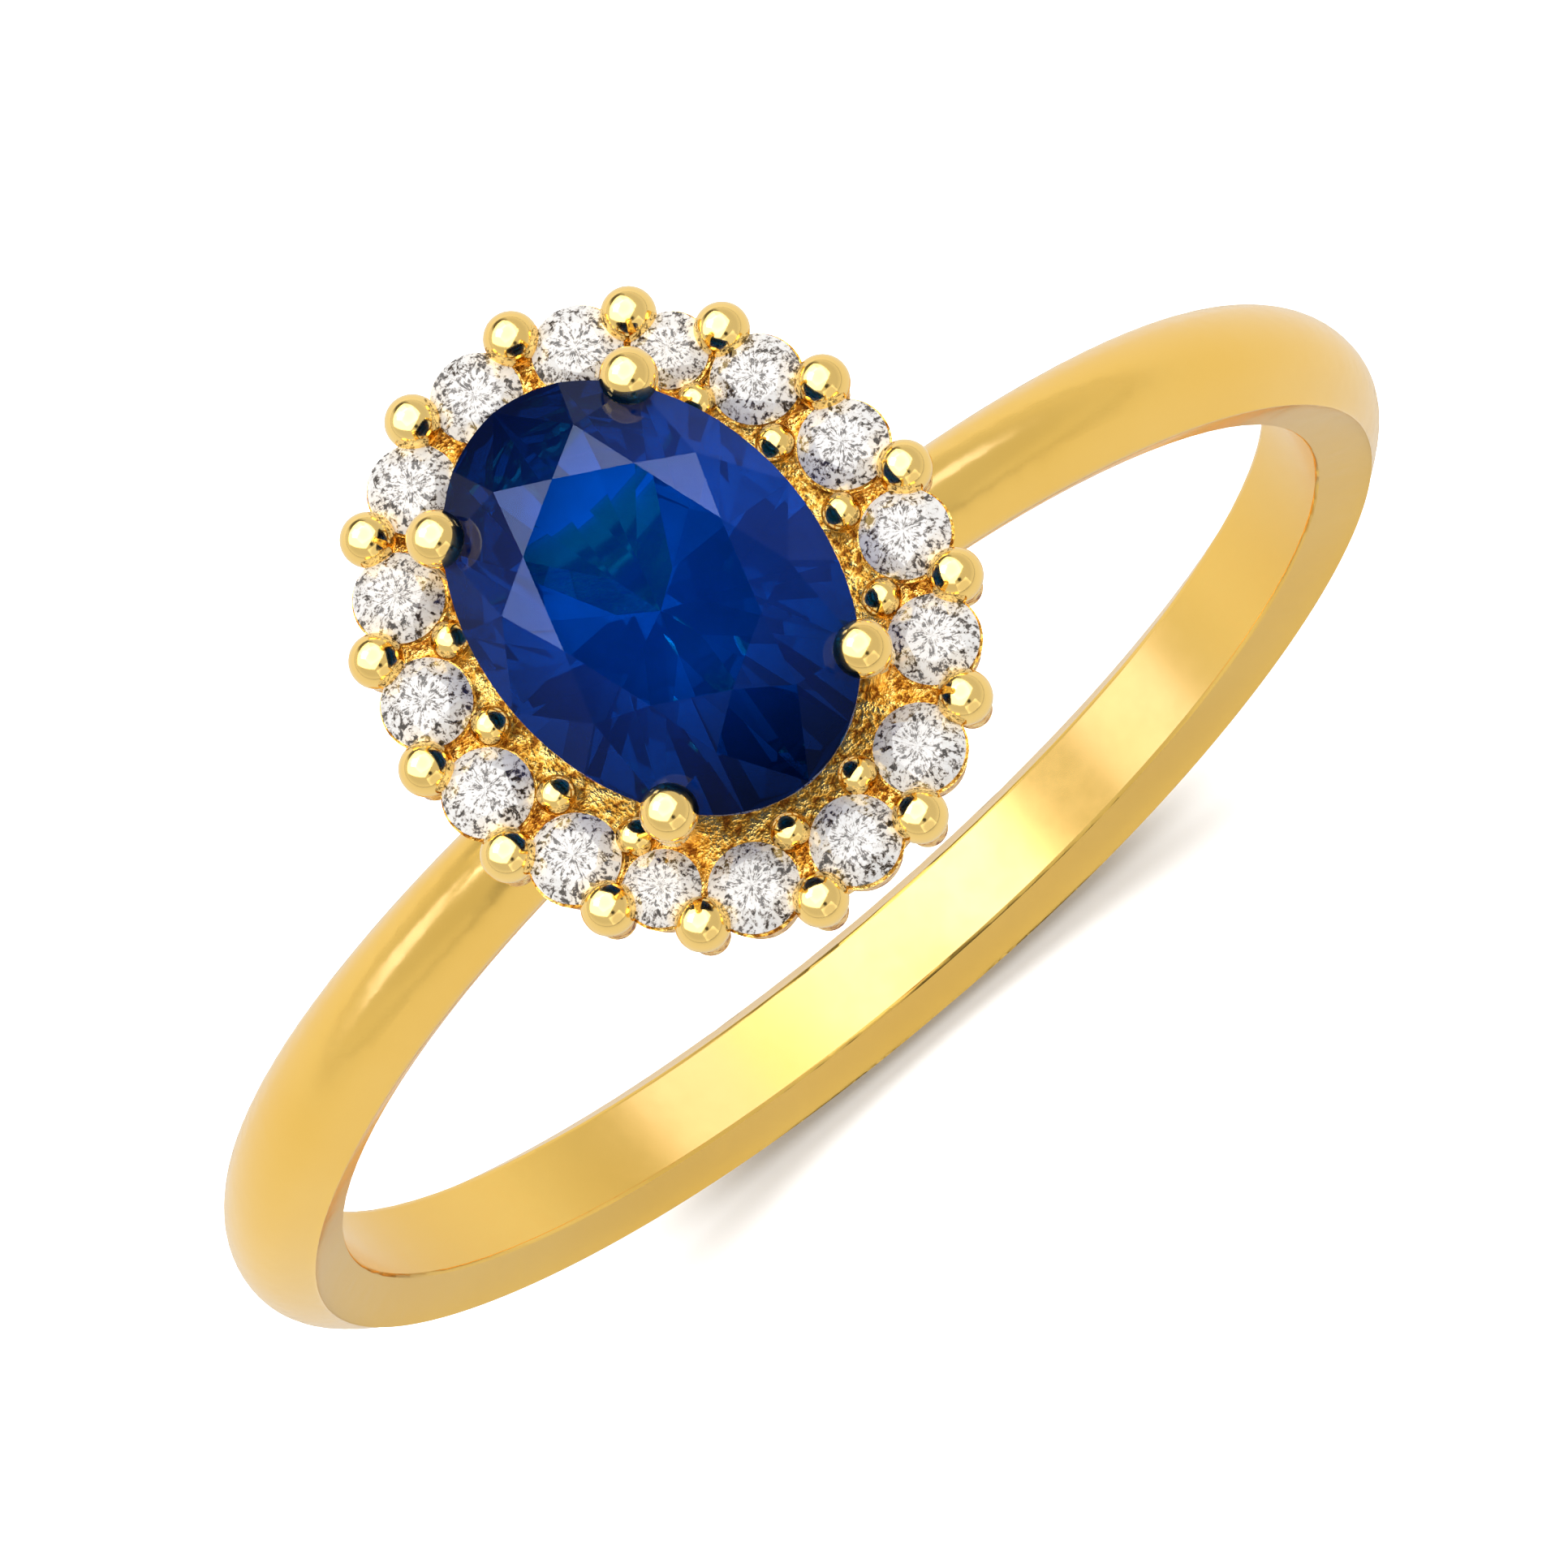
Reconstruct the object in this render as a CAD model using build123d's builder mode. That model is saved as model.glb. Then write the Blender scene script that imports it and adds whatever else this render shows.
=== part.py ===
from build123d import *
import math
import os

# Yellow gold engagement ring: an oval sapphire in four claws, standing above an oval
# halo of sixteen round diamonds, on a plain D-section band.
# Frame: origin at the centre of the finger bore, the finger runs along Y, the head is
# on +Z and the long axis of the head lies along Y. Millimetres.

os.makedirs("parts", exist_ok=True)

# --- band -------------------------------------------------------------------------
bore_radius = 9.05
bore_edge_width = 1.30       # width of the inside face where it meets the finger
bore_edge_round = 0.08
palm_width = 1.84
palm_thickness = 1.48
side_width = 1.84
side_thickness = 1.43
shoulder_width = 1.42
shoulder_thickness = 1.52
crown_width = 1.34           # under the head
crown_thickness = 1.15
widest_height = 0.55         # of the thickness, where the section is widest
flank_lean = 0.30            # sideways per unit of height, where the flank leaves the bore
section_depth = 0.40         # how far the raw sections reach into the bore, before it is cut

# --- head levels, measured from the bore centre -----------------------------------
rail_bottom = 10.00          # where the gallery rail sits on the band
rail_height = 0.80
frame_bottom = 12.46         # underside of the halo frame
frame_top = 12.86
cup_top = 13.14              # rim of the seat around each diamond
diamond_girdle = 13.22
sapphire_girdle = 14.50
claw_ball_height = 14.79

# --- sapphire, oval brilliant -----------------------------------------------------
sapphire_half_x = 2.50
sapphire_half_y = 3.50
sapphire_crown = 0.78
sapphire_pavilion = 2.15
sapphire_girdle_thickness = 0.12

# --- halo -------------------------------------------------------------------------
diamond_count = 16
halo_half_x = 3.47           # oval through the diamond centres
halo_half_y = 4.21
diamond_radius = 0.655
small_diamond_radius = 0.56  # the two stones beside a claw
small_diamonds = (2, 10)
small_pitch_cut = 0.27       # a small stone stands this much closer to its neighbours
diamond_crown_ratio = 0.30   # heights of a diamond's cut, over its radius
diamond_pavilion_ratio = 0.86
diamond_girdle_ratio = 0.05
outer_prong_offset = 0.46    # outside the oval of diamond centres
outer_ball_radius = 0.40
outer_ball_height = 13.26
outer_pin_radius = 0.20
inner_prong_offset = 0.62    # inside the oval of diamond centres
inner_ball_radius = 0.29
inner_ball_height = 13.20
inner_pin_radius = 0.15
prong_collar_ratio = 0.75    # collar under a ball, over the ball's radius
claw_gaps = (1, 6, 9, 14)    # gaps between diamonds where a claw takes the inner prong's place
frame_inner_half_x = 2.10
frame_inner_half_y = 3.05
cup_wall = 0.03              # round the girdle of each diamond
cup_taper = 10               # degrees, the seats narrow towards the underside
plate_margin = 0.38          # the plate reaches this far outside the oval of diamond centres
seat_hole_ratio = 0.50       # hole under each diamond, over the stone's radius
pin_cover = 0.28             # radius of the frame round each outer prong

# --- claws and gallery ------------------------------------------------------------
claw_ball_radius = 0.42
claw_wire_radius = 0.27
claw_head_x = 1.76           # centres of the ball heads
claw_head_y = 2.59
claw_lean = 0.09             # the wire stands this much outside its ball head
claw_bend_drop = 0.10        # the wire turns in over the stone this far below its girdle
rail_half_x = 1.90           # centre line of the gallery rail
rail_half_y = 2.70
rail_wall = 0.70
rail_round = 0.18
strut_radius = 0.30
strut_inset = 0.35           # the strut's top stands this far inside the oval of diamond centres
strut_rise = 0.40            # the strut's foot stands this far above the underside of the rail

up = Vector(0, 0, 1)


def finish(piece, name):
    """Label a finished piece and write its STEP file."""
    piece.part.label = name
    export_step(piece.part, f"parts/{name}.step")
    return piece.part


# --- brilliant cut ----------------------------------------------------------------
def facet_plane(first, second, third):
    """Plane through three points of a gem whose centre line is the Z axis, facing out."""
    normal = (second - first).cross(third - first).normalized()
    centre = (first + second + third) * (1 / 3)
    outward = Vector(centre.X, centre.Y, 0)
    if normal.dot(outward) < 0:
        normal = normal * -1
    return Plane(origin=first, z_dir=normal)


def brilliant(half_x, half_y, crown, pavilion, girdle, table_ratio=0.57, lower_ratio=0.22):
    """57-facet brilliant, stretched to an oval, with its girdle's lower edge at Z = 0."""
    step = math.radians(22.5)
    table_z = girdle + crown
    bezel_slope = crown / (1 - table_ratio)
    star_radius = (table_ratio * math.cos(step) + 1) / 2
    star_z = girdle + bezel_slope * (1 - star_radius * math.cos(step))
    lower_z = -pavilion + pavilion * lower_ratio * math.cos(step)

    def at(radius, turns, height):
        angle = turns * step
        return Vector(half_x * radius * math.sin(angle), half_y * radius * math.cos(angle), height)

    facets = []
    for corner in range(0, 16, 2):
        table_here = at(table_ratio, corner, table_z)
        table_next = at(table_ratio, corner + 2, table_z)
        star = at(star_radius, corner + 1, star_z)
        star_before = at(star_radius, corner - 1, star_z)
        facets.append((at(1, corner, girdle), star, table_here))
        facets.append((table_here, star, table_next))
        facets.append((star, at(1, corner, girdle), at(1, corner + 1, girdle)))
        facets.append((star_before, at(1, corner - 1, girdle), at(1, corner, girdle)))
        lower = at(lower_ratio, corner + 1, lower_z)
        lower_before = at(lower_ratio, corner - 1, lower_z)
        facets.append((lower, at(1, corner, 0), at(1, corner + 1, 0)))
        facets.append((lower_before, at(1, corner - 1, 0), at(1, corner, 0)))
        facets.append((lower, lower_before, at(1, corner, 0)))

    with BuildPart() as gem:
        with BuildSketch(Plane.XY.offset(-pavilion)):
            Ellipse(half_x, half_y)
        extrude(amount=pavilion + table_z)
        for points in facets:
            split(bisect_by=facet_plane(*points), keep=Keep.BOTTOM)
    return gem.part


# --- places around the halo -------------------------------------------------------
oval_plane = Plane(origin=(0, 0, 0), x_dir=(0, 1, 0), z_dir=(0, 0, -1))
halo_oval = Edge.make_ellipse(halo_half_y, halo_half_x, oval_plane)


def stone_radius(index):
    """Radius of a halo diamond, numbered 1 to 16 clockwise from the one next to +Y."""
    return small_diamond_radius if index in small_diamonds else diamond_radius


# Places along the oval, as shares of its length from +Y, where the last diamond stands.
close_pitches = 2 * len(small_diamonds)
wide_pitch = (halo_oval.length + close_pitches * small_pitch_cut) / diamond_count
stone_turns = {}
gap_turns = {}
distance = 0
for index in range(1, diamond_count + 1):
    before = (index - 2) % diamond_count + 1
    is_close = index in small_diamonds or before in small_diamonds
    pitch = wide_pitch - small_pitch_cut if is_close else wide_pitch
    gap_middle = distance + (pitch + stone_radius(before) - stone_radius(index)) / 2
    distance = distance + pitch
    gap_turns[before] = gap_middle / halo_oval.length
    stone_turns[index] = distance / halo_oval.length


def halo_plane(turns, offset, height):
    """Plane at a place on the halo: turns is 0 to 1 clockwise from +Y, offset is outwards."""
    place = halo_oval.position_at(turns % 1)
    along = halo_oval.tangent_at(turns % 1)
    outward = along.cross(up).normalized()
    if outward.dot(place) < 0:
        outward = outward * -1
    origin = place + outward * offset + up * height
    return Plane(origin=origin, x_dir=along, z_dir=up)


# --- stones -----------------------------------------------------------------------
sapphire_cut = brilliant(
    sapphire_half_x, sapphire_half_y, sapphire_crown, sapphire_pavilion, sapphire_girdle_thickness
)
with BuildPart() as sapphire:
    add(Pos(0, 0, sapphire_girdle) * sapphire_cut)
sapphire_solid = finish(sapphire, "sapphire")


cuts = {}
for radius in (diamond_radius, small_diamond_radius):
    crown = diamond_crown_ratio * radius
    pavilion = diamond_pavilion_ratio * radius
    cuts[radius] = brilliant(radius, radius, crown, pavilion, diamond_girdle_ratio * radius)

diamonds = {}
for index, turns in stone_turns.items():
    with BuildPart() as diamond:
        add(halo_plane(turns, 0, diamond_girdle).location * cuts[stone_radius(index)])
    diamonds[index] = finish(diamond, f"diamond_{index:02d}")


# --- prongs around the diamonds ---------------------------------------------------
def prong(gap, offset, ball_radius, pin_radius, ball_height):
    """Wire pin through the halo frame with a ball on its end, between diamond gap and the next."""
    turns = gap_turns[gap]
    with BuildPart() as wire:
        with BuildSketch(halo_plane(turns, offset, frame_bottom)):
            Circle(pin_radius)
        extrude(amount=ball_height - frame_bottom)
        with BuildSketch(halo_plane(turns, offset, frame_top)):
            Circle(prong_collar_ratio * ball_radius)
        extrude(amount=ball_height - frame_top)
        with Locations(halo_plane(turns, offset, ball_height)):
            Sphere(ball_radius)
        add(diamonds[gap], mode=Mode.SUBTRACT)
        add(diamonds[gap % diamond_count + 1], mode=Mode.SUBTRACT)
    return wire


prongs = []
for gap in range(1, diamond_count + 1):
    outer = prong(gap, outer_prong_offset, outer_ball_radius, outer_pin_radius, outer_ball_height)
    prongs.append(finish(outer, f"outer_prong_{gap:02d}"))
    if gap not in claw_gaps:
        inner = prong(gap, -inner_prong_offset, inner_ball_radius, inner_pin_radius, inner_ball_height)
        prongs.append(finish(inner, f"inner_prong_{gap:02d}"))

# --- claws ------------------------------------------------------------------------
claw_foot_x = rail_half_x * math.sqrt(0.5)
claw_foot_y = rail_half_y * math.sqrt(0.5)
claw_bend_height = sapphire_girdle - claw_bend_drop
claw_sides = {"front_right": (1, -1), "front_left": (-1, -1), "back_left": (-1, 1), "back_right": (1, 1)}
claws = {}
for corner, (sign_x, sign_y) in claw_sides.items():
    foot = Vector(sign_x * claw_foot_x, sign_y * claw_foot_y, rail_bottom)
    head = Vector(sign_x * claw_head_x, sign_y * claw_head_y, claw_ball_height)
    shoulder = Vector(head.X + sign_x * claw_lean, head.Y + sign_y * claw_lean, claw_bend_height)
    with BuildPart() as claw:
        with BuildLine() as path:
            Polyline(foot, shoulder, head)
        with BuildSketch(Plane(origin=foot, z_dir=shoulder - foot)):
            Circle(claw_wire_radius)
        sweep(path=path.line, transition=Transition.ROUND)
        with Locations(head):
            Sphere(claw_ball_radius)
        split(bisect_by=Plane.XY.offset(rail_bottom), keep=Keep.TOP)
        add(sapphire_solid, mode=Mode.SUBTRACT)
    claws[corner] = finish(claw, f"claw_{corner}")

# --- gallery rail -----------------------------------------------------------------
with BuildPart() as gallery_rail:
    with BuildSketch(Plane.XY.offset(rail_bottom)):
        Ellipse(rail_half_x + rail_wall / 2, rail_half_y + rail_wall / 2)
        Ellipse(rail_half_x - rail_wall / 2, rail_half_y - rail_wall / 2, mode=Mode.SUBTRACT)
    extrude(amount=rail_height)
    fillet(gallery_rail.faces().sort_by(Axis.Z)[-1].edges(), rail_round)
    for wire in claws.values():
        add(wire, mode=Mode.SUBTRACT)
rail_solid = finish(gallery_rail, "gallery_rail")

# --- halo frame -------------------------------------------------------------------
cup_narrowing = (cup_top - frame_bottom) * math.tan(math.radians(cup_taper))
with BuildPart() as halo_frame:
    with BuildSketch(Plane.XY.offset(frame_bottom)):
        Ellipse(halo_half_x + plate_margin, halo_half_y + plate_margin)
    extrude(amount=frame_top - frame_bottom)
    for index in range(1, diamond_count + 1):
        with BuildSketch(halo_plane(stone_turns[index], 0, frame_bottom)):
            Circle(stone_radius(index) + cup_wall - cup_narrowing)
        extrude(amount=cup_top - frame_bottom, taper=-cup_taper)
        with BuildSketch(halo_plane(gap_turns[index], outer_prong_offset, frame_bottom)):
            Circle(pin_cover)
        extrude(amount=frame_top - frame_bottom)
    with BuildSketch(Plane.XY.offset(frame_bottom)):
        Ellipse(frame_inner_half_x, frame_inner_half_y)
    extrude(amount=cup_top - frame_bottom, mode=Mode.SUBTRACT)
    for index in range(1, diamond_count + 1):
        with BuildSketch(halo_plane(stone_turns[index], 0, frame_bottom)):
            Circle(seat_hole_ratio * stone_radius(index))
        extrude(amount=cup_top - frame_bottom, mode=Mode.SUBTRACT)
        add(diamonds[index], mode=Mode.SUBTRACT)
    for wire in prongs + list(claws.values()):
        add(wire, mode=Mode.SUBTRACT)
finish(halo_frame, "halo_frame")

# --- struts from the gallery rail to the halo frame -------------------------------
strut_top_x = halo_half_x - strut_inset
strut_top_y = halo_half_y - strut_inset
strut_ends = {"right": (1, 0), "front": (0, -1), "left": (-1, 0), "back": (0, 1)}
for side, (sign_x, sign_y) in strut_ends.items():
    low = Vector(sign_x * rail_half_x, sign_y * rail_half_y, rail_bottom + strut_rise)
    high = Vector(sign_x * strut_top_x, sign_y * strut_top_y, frame_bottom)
    with BuildPart() as strut:
        with BuildLine() as path:
            Line(low, high + (high - low).normalized() * strut_radius)
        with BuildSketch(Plane(origin=low, z_dir=high - low)):
            Circle(strut_radius)
        sweep(path=path.line)
        split(bisect_by=Plane.XY.offset(frame_bottom), keep=Keep.BOTTOM)
        add(rail_solid, mode=Mode.SUBTRACT)
    finish(strut, f"halo_strut_{side}")


# --- band -------------------------------------------------------------------------
def band_section(angle, width, thickness):
    """D-shaped section of the band, angle in degrees from the palm towards +X."""
    radial = Vector(math.sin(math.radians(angle)), 0, -math.cos(math.radians(angle)))
    across = Vector(0, 1, 0)
    edge = bore_edge_width / 2
    inside = bore_radius - section_depth
    with BuildSketch(Plane(origin=(0, 0, 0), x_dir=across, z_dir=across.cross(radial))) as section:
        with BuildLine():
            Line((edge, inside), (edge, bore_radius))
            Spline(
                (edge, bore_radius),
                (width / 2, bore_radius + widest_height * thickness),
                (0.30 * width, bore_radius + 0.87 * thickness),
                (0, bore_radius + thickness),
                (-0.30 * width, bore_radius + 0.87 * thickness),
                (-width / 2, bore_radius + widest_height * thickness),
                (-edge, bore_radius),
                tangents=((flank_lean, 1), (flank_lean, -1)),
            )
            Line((-edge, bore_radius), (-edge, inside))
            Line((-edge, inside), (edge, inside))
        make_face()
    return section.sketch


stations = (
    (0, palm_width, palm_thickness),
    (35, side_width, palm_thickness),
    (70, side_width, side_thickness),
    (100, side_width, side_thickness),
    (130, 0.91 * side_width, 1.02 * side_thickness),
    (155, shoulder_width, shoulder_thickness),
    (180, crown_width, crown_thickness),
)
before_palm = (-stations[1][0], *stations[1][1:])
past_crown = (360 - stations[-2][0], *stations[-2][1:])
sections = [band_section(*station) for station in (before_palm, *stations, past_crown)]

# The bore's rim is rounded by turning a small corner piece, less a circle, about Y. It leans
# outwards a little more than the flank does, so that the rounding runs out on the flank.
rim_lean = 1.5 * flank_lean
rim_edge = Vector(bore_radius, bore_edge_width / 2)
flank_direction = Vector(1, rim_lean).normalized()
flank_outward = Vector(-flank_direction.Y, flank_direction.X)
corner_angle = math.radians(90) + math.atan(rim_lean)
tangent_length = bore_edge_round / math.tan(corner_angle / 2)
on_bore = rim_edge - Vector(0, tangent_length)
on_flank = rim_edge + flank_direction * tangent_length
round_centre = on_bore + Vector(bore_edge_round, 0)
with BuildSketch() as rim_corner:
    with BuildLine():
        Polyline(
            on_bore,
            on_bore - Vector(bore_edge_round, 0),
            rim_edge + Vector(-bore_edge_round, bore_edge_round),
            on_flank + flank_outward * bore_edge_round,
            on_flank,
            round_centre,
            close=True,
        )
    make_face()
    with Locations(round_centre):
        Circle(bore_edge_round, mode=Mode.SUBTRACT)

with BuildPart() as shank:
    loft(sections=sections)
    with BuildSketch(Plane.XZ):
        Circle(bore_radius)
    extrude(amount=side_width, both=True, mode=Mode.SUBTRACT)
    revolve(rim_corner.sketch, axis=Axis.Y, mode=Mode.SUBTRACT)
    other_rim = mirror(rim_corner.sketch, about=Plane.XZ, mode=Mode.PRIVATE)
    revolve(other_rim, axis=Axis.Y, mode=Mode.SUBTRACT)
    split(bisect_by=Plane.YZ, keep=Keep.TOP)
    mirror(about=Plane.YZ)
    add(rail_solid, mode=Mode.SUBTRACT)
    for wire in claws.values():
        add(wire, mode=Mode.SUBTRACT)
finish(shank, "shank")
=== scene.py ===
import math

import bpy
from mathutils import Matrix, Vector


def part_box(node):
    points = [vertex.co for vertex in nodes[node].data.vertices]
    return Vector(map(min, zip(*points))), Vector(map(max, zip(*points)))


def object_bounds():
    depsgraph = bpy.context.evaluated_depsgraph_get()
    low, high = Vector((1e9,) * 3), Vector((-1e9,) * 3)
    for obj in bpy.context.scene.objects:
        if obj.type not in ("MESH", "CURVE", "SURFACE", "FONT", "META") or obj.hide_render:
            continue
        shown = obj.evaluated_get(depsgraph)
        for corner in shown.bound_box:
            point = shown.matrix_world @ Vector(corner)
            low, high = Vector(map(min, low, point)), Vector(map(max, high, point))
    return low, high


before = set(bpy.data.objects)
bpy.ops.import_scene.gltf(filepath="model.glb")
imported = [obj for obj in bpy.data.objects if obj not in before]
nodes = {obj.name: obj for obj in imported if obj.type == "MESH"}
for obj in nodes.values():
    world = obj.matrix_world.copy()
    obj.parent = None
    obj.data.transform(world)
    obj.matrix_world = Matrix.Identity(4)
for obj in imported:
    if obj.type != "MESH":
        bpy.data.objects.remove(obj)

cad_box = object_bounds()
scene = bpy.context.scene
MM = 0.001
WHITE = (1.0, 1.0, 1.0)

sapphire_low, sapphire_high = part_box("sapphire")
SAPPHIRE_HALF = (Vector(sapphire_high) - Vector(sapphire_low)) / 2

# --- camera ------------------------------------------------------------------------------
# The three axes of the view in the ring's own frame. The camera stands back along the third
# one, and slightly off the bore's centre along the other two.
VIEW_RIGHT = Vector((0.7636, -0.6286, -0.1474))
VIEW_UP = Vector((0.6451, 0.7333, 0.2147))
VIEW_BACK = Vector((-0.0268, -0.2590, 0.9655))
CAMERA_DISTANCE = 362.0 * MM
CAMERA_SIDE = -0.302 * MM
CAMERA_RISE = 0.519 * MM
SENSOR = 36.0
LENS = 574.8
CLIP_NEAR = 0.01
CLIP_FAR = 20.0

camera_data = bpy.data.cameras.new("camera")
camera_data.sensor_width = SENSOR
camera_data.lens = LENS
camera_data.clip_start = CLIP_NEAR
camera_data.clip_end = CLIP_FAR
camera = bpy.data.objects.new("camera", camera_data)
scene.collection.objects.link(camera)
rotation = Matrix((VIEW_RIGHT, VIEW_UP, VIEW_BACK)).transposed().to_4x4()
place = VIEW_BACK * CAMERA_DISTANCE + VIEW_RIGHT * CAMERA_SIDE + VIEW_UP * CAMERA_RISE
camera.matrix_world = Matrix.Translation(place) @ rotation
scene.camera = camera
scene.view_settings.view_transform = "Standard"


# --- node helpers ------------------------------------------------------------------------
class Graph:
    """A node tree with short calls for adding nodes and joining them."""

    def __init__(self, tree):
        self.tree = tree
        tree.nodes.clear()

    def add(self, kind, settings=None, **inputs):
        node = self.tree.nodes.new(kind)
        for name, value in (settings or {}).items():
            setattr(node, name, value)
        for name, value in inputs.items():
            self.put(node, name.replace("_", " "), value)
        return node

    def put(self, node, name, value):
        """Set an input, named or numbered, to a value, or join it to another node's output."""
        socket = node.inputs[int(name)] if name.isdigit() else node.inputs[name]
        if isinstance(value, bpy.types.NodeSocket):
            self.tree.links.new(value, socket)
        else:
            socket.default_value = value

    def math(self, operation, first, second):
        node = self.add("ShaderNodeMath", {"operation": operation})
        self.put(node, "0", first)
        self.put(node, "1", second)
        return node.outputs[0]

    def vector(self, operation, first, second=None, scale=None):
        """Vector maths. The length and the dot product come out as numbers."""
        node = self.add("ShaderNodeVectorMath", {"operation": operation})
        self.put(node, "0", first)
        if second is not None:
            self.put(node, "1", second)
        if scale is not None:
            self.put(node, "Scale", scale)
        return node.outputs["Value" if operation in ("LENGTH", "DOT_PRODUCT") else "Vector"]

    def span(self, value, low, high, to_low, to_high):
        """Map low..high to to_low..to_high, and clamp outside."""
        node = self.add(
            "ShaderNodeMapRange", {"clamp": True},
            Value=value, From_Min=low, From_Max=high, To_Min=to_low, To_Max=to_high,
        )
        return node.outputs["Result"]

    def ramp(self, value, *stops):
        node = self.add("ShaderNodeValToRGB", Fac=value)
        elements = node.color_ramp.elements
        while len(elements) < len(stops):
            elements.new(0.5)
        for element, (position, colour) in zip(elements, stops):
            element.position = position
            element.color = (*colour, 1.0)
        return node.outputs["Color"]

    def noise(self, vector, scale, detail, roughness=0.5, distortion=0.0):
        node = self.add(
            "ShaderNodeTexNoise",
            Vector=vector, Scale=scale, Detail=detail, Roughness=roughness, Distortion=distortion,
        )
        return node.outputs["Fac"]

    def bump(self, height, strength, distance):
        node = self.add("ShaderNodeBump", Strength=strength, Distance=distance, Height=height)
        return node.outputs[0]

    def multiply_colours(self, first, second):
        node = self.add("ShaderNodeMix", {"data_type": "RGBA", "blend_type": "MULTIPLY"})
        # The node has inputs of one name for every data type, so the colour ones go by number.
        for number, value in (("0", 1.0), ("6", first), ("7", second)):
            self.put(node, number, value)
        return node.outputs[2]


def new_material(name):
    material = bpy.data.materials.new(name)
    material.use_nodes = True
    graph = Graph(material.node_tree)
    shader = graph.add("ShaderNodeBsdfPrincipled")
    output = graph.add("ShaderNodeOutputMaterial")
    graph.tree.links.new(shader.outputs[0], output.inputs["Surface"])
    return material, graph, shader


def object_place(graph):
    """Coordinates in metres in the ring's own frame, so noise scales are in turns a metre."""
    return graph.add("ShaderNodeTexCoord").outputs["Object"]


# --- gold --------------------------------------------------------------------------------
TONE_SCALE = 260.0     # soft patches of tone, about 4 mm across
POLISH_SCALE = 3000.0  # polishing marks, about a third of a millimetre
CAST_SCALE = 7500.0    # grains of the cast surface, under 0.15 mm


def gold_material(name, deep, light, smooth, rough, marks, coat):
    """Gold between two tones and two roughnesses, with faint marks and a clear gloss."""
    material, graph, shader = new_material(name)
    where = object_place(graph)
    broad = graph.noise(where, TONE_SCALE, 3.0)
    fine = graph.noise(where, POLISH_SCALE, 4.0, 0.6)
    graph.put(shader, "Base Color", graph.ramp(broad, (0.3, deep), (0.7, light)))
    graph.put(shader, "Metallic", 1.0)
    graph.put(shader, "Roughness", graph.span(fine, 0.3, 0.7, smooth, rough))
    graph.put(shader, "Normal", graph.bump(fine, marks, 0.02 * MM))
    graph.put(shader, "Coat Weight", coat)
    graph.put(shader, "Coat Roughness", 0.12)
    return material


gold = gold_material(
    "gold_polished", deep=(0.96, 0.600, 0.120), light=(0.98, 0.635, 0.150),
    smooth=0.20, rough=0.26, marks=0.02, coat=0.20,
)
bead_gold = gold_material(
    "gold_beads", deep=(0.98, 0.65, 0.19), light=(1.0, 0.71, 0.25),
    smooth=0.09, rough=0.13, marks=0.03, coat=0.0,
)

# Cast gold of the halo plate: pitted, with painted amber to brown shade in the hollows between
# bright grains.
HOLLOW_SHADE_BROWN = (0.30, 0.10, 0.012)
HOLLOW_SHADE_AMBER = (0.80, 0.40, 0.05)
GRAIN_GOLD = (1.0, 0.68, 0.20)

cast_gold, graph, shader = new_material("gold_cast")
grain = graph.noise(object_place(graph), CAST_SCALE, 3.0, 0.6)
# Painted shade: brown and amber colour where the grain, which is also the bump's height, is
# lowest.
hollow_shade = graph.ramp(grain, (0.38, HOLLOW_SHADE_BROWN), (0.47, HOLLOW_SHADE_AMBER), (0.60, GRAIN_GOLD))
graph.put(shader, "Base Color", hollow_shade)
graph.put(shader, "Metallic", 1.0)
graph.put(shader, "Roughness", graph.span(grain, 0.35, 0.65, 0.45, 0.20))
graph.put(shader, "Normal", graph.bump(grain, 1.0, 0.05 * MM))

# --- sapphire ----------------------------------------------------------------------------
# Deep blue and see-through, with a little milky body colour and faint growth zones. Painted shade
# keeps it brightest beside its middle and darkens it outwards, most towards its long ends.
ZONE_SCALE = 700.0    # growth zones, over a millimetre apart
DEEP_BLUE = (0.0, 0.080, 0.56)
BRIGHT_BLUE = (0.0, 0.118, 0.84)
PAINTED_SHADE_CENTRE = 0.30   # how far the lightest point of the painted shade lies to +X, in half widths
ACROSS_SHARE = 0.62   # how much the painted darkening counts across the stone, against along it
PAINTED_SHADE_START = (0.45, WHITE)
PAINTED_SHADE_MIDDLE = (0.66, (1.0, 0.52, 0.52))
PAINTED_SHADE_END = (0.95, (1.0, 0.17, 0.19))

sapphire, graph, shader = new_material("sapphire_blue")
where = object_place(graph)
zones = graph.noise(where, ZONE_SCALE, 3.0, 0.6)
body = graph.ramp(zones, (0.3, DEEP_BLUE), (0.7, BRIGHT_BLUE))
offset = graph.vector("SUBTRACT", where, (PAINTED_SHADE_CENTRE * SAPPHIRE_HALF.x, 0.0, 0.0))
shares = (ACROSS_SHARE / SAPPHIRE_HALF.x, 1.0 / SAPPHIRE_HALF.y, 0.0)
outwards = graph.vector("LENGTH", graph.vector("MULTIPLY", offset, shares))
# Painted shade: the stone's colour darkens outwards from its lightest point.
painted_shade = graph.ramp(outwards, PAINTED_SHADE_START, PAINTED_SHADE_MIDDLE, PAINTED_SHADE_END)
graph.put(shader, "Base Color", graph.multiply_colours(body, painted_shade))
graph.put(shader, "Roughness", 0.01)
graph.put(shader, "IOR", 1.77)
graph.put(shader, "Specular Tint", (0.07, 0.09, 0.16, 1.0))
graph.put(shader, "Transmission Weight", 0.82)

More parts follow.
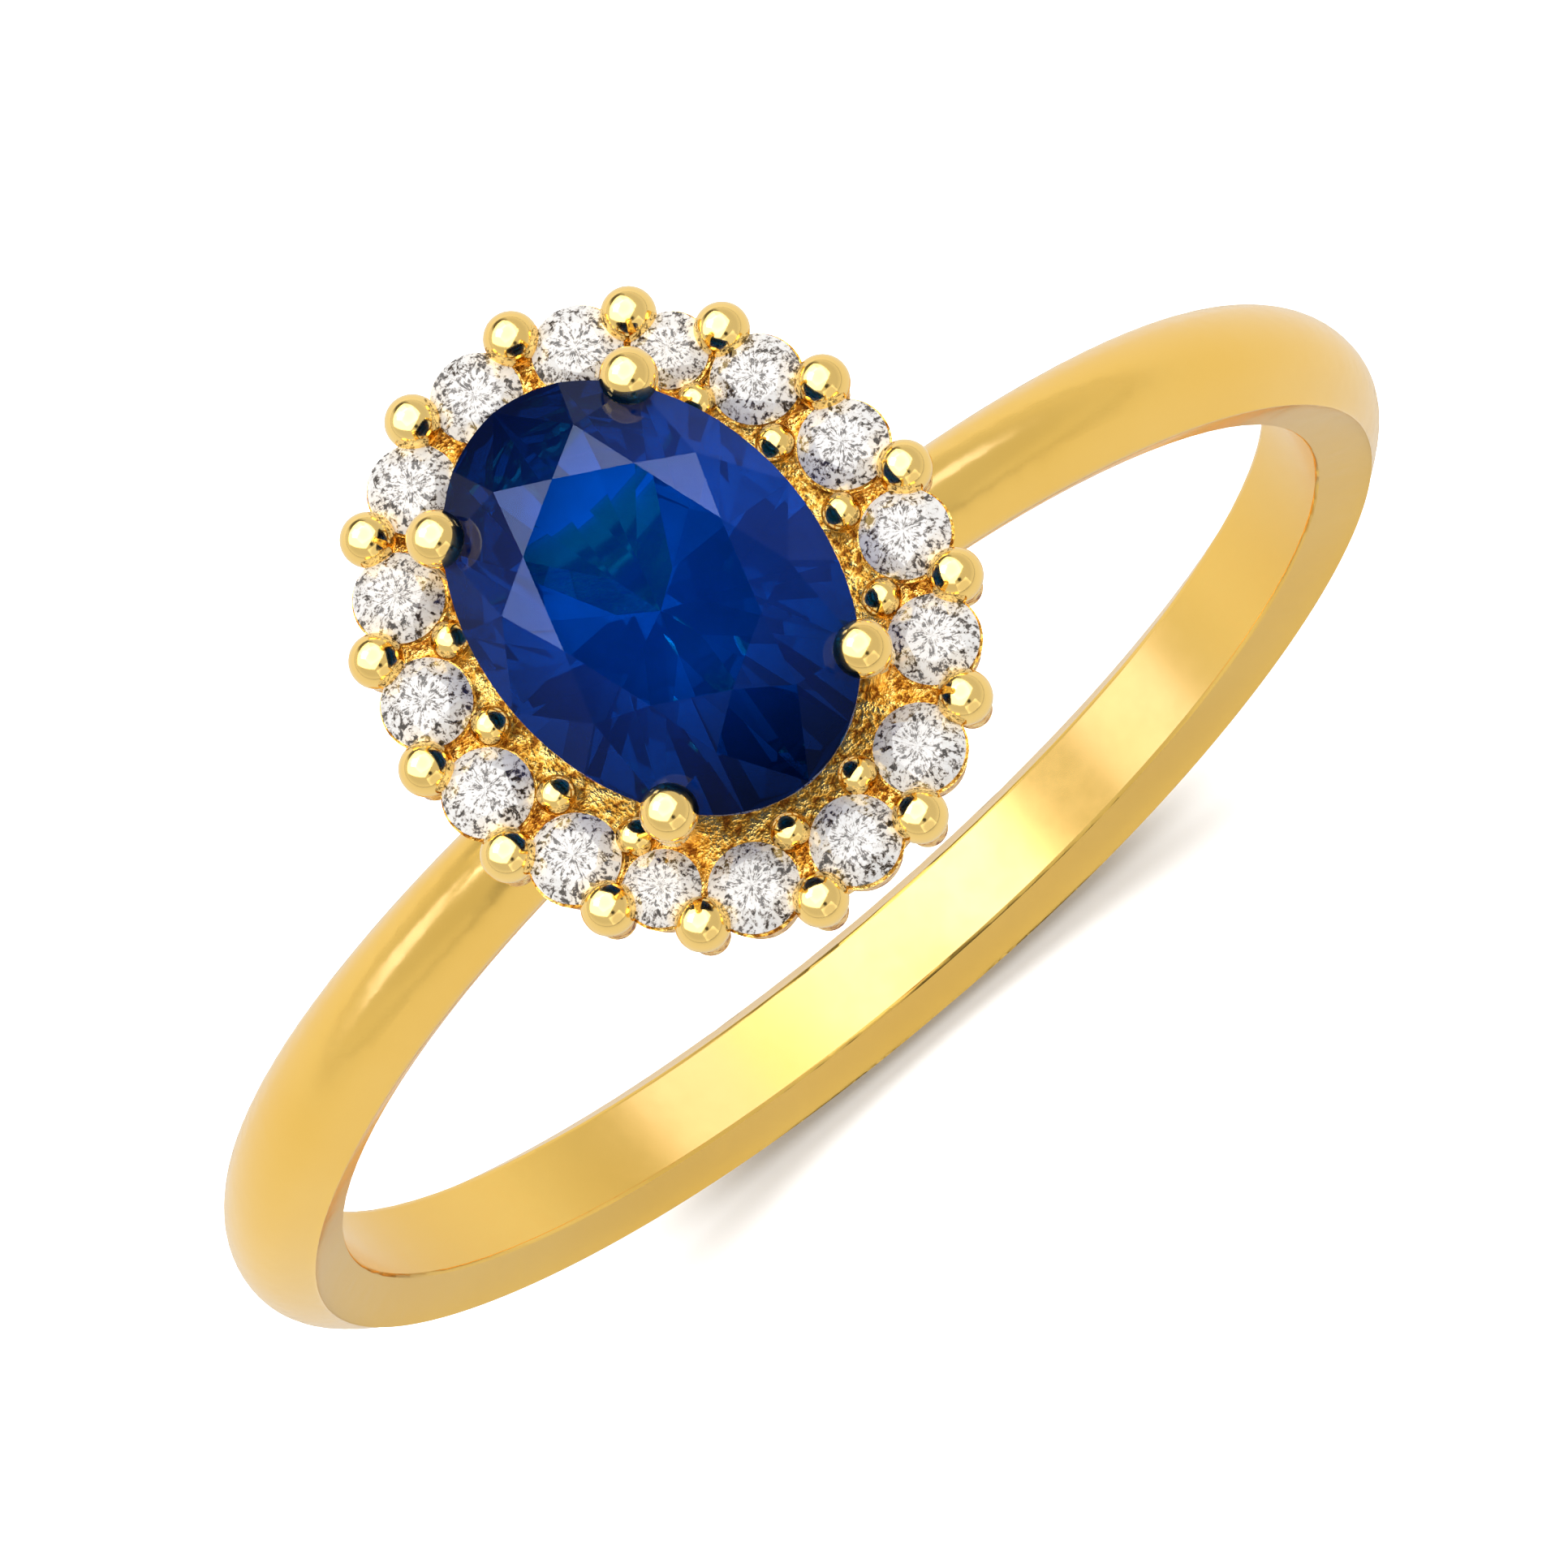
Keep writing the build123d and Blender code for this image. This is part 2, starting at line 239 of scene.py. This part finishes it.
# --- diamond -----------------------------------------------------------------------------
# White, with painted reflections: the many small dark and bright strokes that a brilliant cut
# mirrors, which run outwards from the middle of each stone, and finer specks.
STROKES_AROUND = 4.2   # size of the circle that the noise is read on: more strokes if larger
STROKES_OUTWARD = 9.0  # changes along a stroke, over the stone's width
STONE_SHIFT = 50.0     # moves each stone to its own part of the noise
SPECK_SCALE = 12000.0  # specks under 0.1 mm
STROKE_SHARE = 0.55
SPECK_SHARE = 0.45

diamond, graph, shader = new_material("diamond_white")
coordinates = graph.add("ShaderNodeTexCoord")
from_middle = graph.vector("SUBTRACT", coordinates.outputs["Generated"], (0.5, 0.5, 0.0))
flat = graph.vector("MULTIPLY", from_middle, (1.0, 1.0, 0.0))
around = graph.vector("SCALE", graph.vector("NORMALIZE", flat), scale=STROKES_AROUND)
outward = graph.math("MULTIPLY", graph.vector("LENGTH", flat), STROKES_OUTWARD)
circle = graph.add("ShaderNodeSeparateXYZ", Vector=around)
stroke_place = graph.add(
    "ShaderNodeCombineXYZ", X=circle.outputs["X"], Y=circle.outputs["Y"], Z=outward,
)
stone_number = graph.add("ShaderNodeObjectInfo").outputs["Random"]
shift = graph.vector("SCALE", stone_number, scale=STONE_SHIFT)
moved = graph.vector("ADD", stroke_place.outputs[0], shift)
strokes = graph.noise(moved, 1.0, 3.0, 0.65, distortion=1.2)
specks = graph.noise(coordinates.outputs["Object"], SPECK_SCALE, 3.0, 0.7)
stroke_part = graph.math("MULTIPLY", strokes, STROKE_SHARE)
speck_part = graph.math("MULTIPLY", specks, SPECK_SHARE)
painted_sparkle = graph.math("ADD", stroke_part, speck_part)
# Painted reflections: the dark and bright tones stand in for what the facets mirror.
painted_sparkle_tone = graph.ramp(
    painted_sparkle,
    (0.418, (0.04, 0.03, 0.02)),
    (0.452, (0.18, 0.15, 0.13)),
    (0.474, (0.55, 0.51, 0.47)),
    (0.50, (0.90, 0.87, 0.84)),
    (0.56, (1.0, 0.99, 0.97)),
)
graph.put(shader, "Base Color", painted_sparkle_tone)
graph.put(shader, "Roughness", 0.08)
graph.put(shader, "IOR", 2.0)
graph.put(shader, "Transmission Weight", 0.10)
graph.put(shader, "Normal", graph.bump(painted_sparkle, 0.35, 0.01 * MM))


def finish_for(name):
    if name.startswith("diamond"):
        return diamond
    if name == "sapphire":
        return sapphire
    if name in ("halo_frame", "gallery_rail"):
        return cast_gold
    if "prong" in name or name.startswith("claw"):
        return bead_gold
    return gold


def made_of(*finishes):
    return [node for name, node in nodes.items() if finish_for(name) in finishes]


for name, node in nodes.items():
    node.data.materials.clear()
    node.data.materials.append(finish_for(name))

# --- floor -------------------------------------------------------------------------------
FLOOR_HALF = 3.0
FLOOR_CORNERS = ((-1, -1), (1, -1), (1, 1), (-1, 1))
FLOOR_GREY = (0.34, 0.34, 0.34)

floor_z = cad_box[0][2]
mesh = bpy.data.meshes.new("floor")
corners = [(x * FLOOR_HALF, y * FLOOR_HALF, floor_z) for x, y in FLOOR_CORNERS]
mesh.from_pydata(corners, [], [(0, 1, 2, 3)])
floor = bpy.data.objects.new("floor", mesh)
scene.collection.objects.link(floor)
# The camera sees the floor white, and the ring's reflections show it grey, as they would a
# smaller sheet of paper.
floor_material, graph, shader = new_material("studio_floor")
seen = graph.add("ShaderNodeLightPath").outputs["Is Camera Ray"]
graph.put(shader, "Base Color", graph.ramp(seen, (0.0, FLOOR_GREY), (1.0, WHITE)))
graph.put(shader, "Roughness", 0.8)
graph.put(shader, "Specular IOR Level", 0.1)
mesh.materials.append(floor_material)

# --- world -------------------------------------------------------------------------------
# A soft sky, a little darker overhead, with four soft round dark cards: direction, angles
# where the card is full and where it ends, and the brightness that is left in it.
SKY_LOW = 0.85
SKY_HIGH = 0.68
SKY_HIGH_FROM = 0.3   # height in the sky, from 0 to 1, where it has become SKY_HIGH
DARK_CARDS = (
    ((0.0, -0.63, 0.78), 5.0, 10.0, 0.05),    # high in front, small
    ((0.03, 0.93, 0.36), 18.0, 30.0, 0.15),   # low behind
    ((0.0, -0.94, 0.28), 18.0, 30.0, 0.08),   # low in front
    ((0.03, 0.26, 0.97), 16.0, 30.0, 0.10),   # overhead: keeps the sapphire's table clear
)

world = bpy.data.worlds.new("studio")
world.use_nodes = True
scene.world = world
graph = Graph(world.node_tree)
background = graph.add("ShaderNodeBackground")
direction = graph.add("ShaderNodeTexCoord").outputs["Generated"]
height = graph.add("ShaderNodeSeparateXYZ", Vector=direction).outputs["Z"]
level = graph.span(height, 0.0, SKY_HIGH_FROM, SKY_LOW, SKY_HIGH)
for towards, inner, outer, left in DARK_CARDS:
    facing = graph.vector("DOT_PRODUCT", direction, Vector(towards).normalized())
    edge, full = math.cos(math.radians(outer)), math.cos(math.radians(inner))
    level = graph.math("MULTIPLY", level, graph.span(facing, edge, full, 1.0, left))
graph.put(background, "Color", level)
graph.put(background, "Strength", 1.0)
output = graph.add("ShaderNodeOutputWorld")
graph.tree.links.new(background.outputs[0], output.inputs["Surface"])


# --- lights ------------------------------------------------------------------------------
def group(name, things):
    collection = bpy.data.collections.new(name)
    for thing in things:
        collection.objects.link(thing)
    return collection


def softbox(name, towards, distance, size, radiance, lit, colour=WHITE, blockers=None):
    """Area light in a direction from the ring, aimed at it, that lights only the given
    objects. With blockers, only those throw shadows in its light."""
    width, depth = size
    data = bpy.data.lights.new(name, "AREA")
    data.shape = "RECTANGLE"
    data.size = width
    data.size_y = depth
    data.energy = radiance * math.pi * width * depth
    data.color = colour
    light = bpy.data.objects.new(name, data)
    scene.collection.objects.link(light)
    place = Vector(towards).normalized() * distance
    light.location = place
    light.rotation_euler = place.to_track_quat("Z", "Y").to_euler()
    light.visible_camera = False
    light.light_linking.receiver_collection = group(name + "_receivers", lit)
    if blockers is not None:
        light.light_linking.blocker_collection = group(name + "_blockers", blockers)
    return light


metal = made_of(gold, bead_gold, cast_gold)
beads = made_of(bead_gold)
diamonds = made_of(diamond)
shank = [nodes["shank"]]

softbox("key_light", (-0.1, 0.78, 0.62), 0.50, (0.40, 0.22), 1.1, metal + diamonds)
softbox("zenith_light", (0.03, 0.26, 0.97), 0.62, (0.80, 0.80), 0.75, metal)
softbox("diamond_light", (0.0, 0.1, 1.0), 0.60, (0.70, 0.70), 1.9, diamonds)

# The palm lights make the highlight on the inside of the band. Gold turns white light lemon
# yellow there, and this bluish light comes back cream.
COOL = (0.60, 0.66, 1.50)
PALM_DISTANCE = 0.55
PALM_LIGHTS = (
    ("palm_light_middle", (-0.12, 0.26, 0.95), (0.90, 0.22), 2.8),
    ("palm_light_left", (-0.86, 0.26, 0.42), (0.30, 0.22), 1.3),
    ("palm_light_right", (0.72, 0.26, 0.64), (0.26, 0.22), 1.2),
)
for name, towards, size, radiance in PALM_LIGHTS:
    softbox(name, towards, PALM_DISTANCE, size, radiance, shank, colour=COOL)

softbox("bead_light", (-0.15, 0.35, 0.90), 0.60, (1.50, 1.40), 2.0, beads)
softbox("bead_fill", (0.0, -0.90, 0.36), 0.60, (0.60, 0.44), 0.8, beads)
softbox("bead_glint", (-0.35, 0.60, 0.72), 0.60, (0.30, 0.24), 3.5, beads)

# The stones don't shade the plate beneath them from this light.
plate = [nodes["halo_frame"]]
softbox("plate_light", (0.03, 0.10, 1.00), 0.60, (0.50, 0.50), 2.2, plate, blockers=shank)
softbox("floor_light", (0.0, 0.40, 0.92), 0.90, (1.20, 1.20), 6.5, [floor])

# Small lights that the sapphire's crown facets mirror. They aren't seen through the stone.
CROWN_LIGHTS = ((0.28, 0.70, 0.65), (-0.23, 0.71, 0.67), (0.64, 0.44, 0.63), (-0.60, 0.44, 0.67))
for number, towards in enumerate(CROWN_LIGHTS):
    crown_light = softbox(
        f"crown_light_{number}", towards, 0.50, (0.10, 0.10), 11.0, [nodes["sapphire"]],
    )
    crown_light.visible_transmission = False
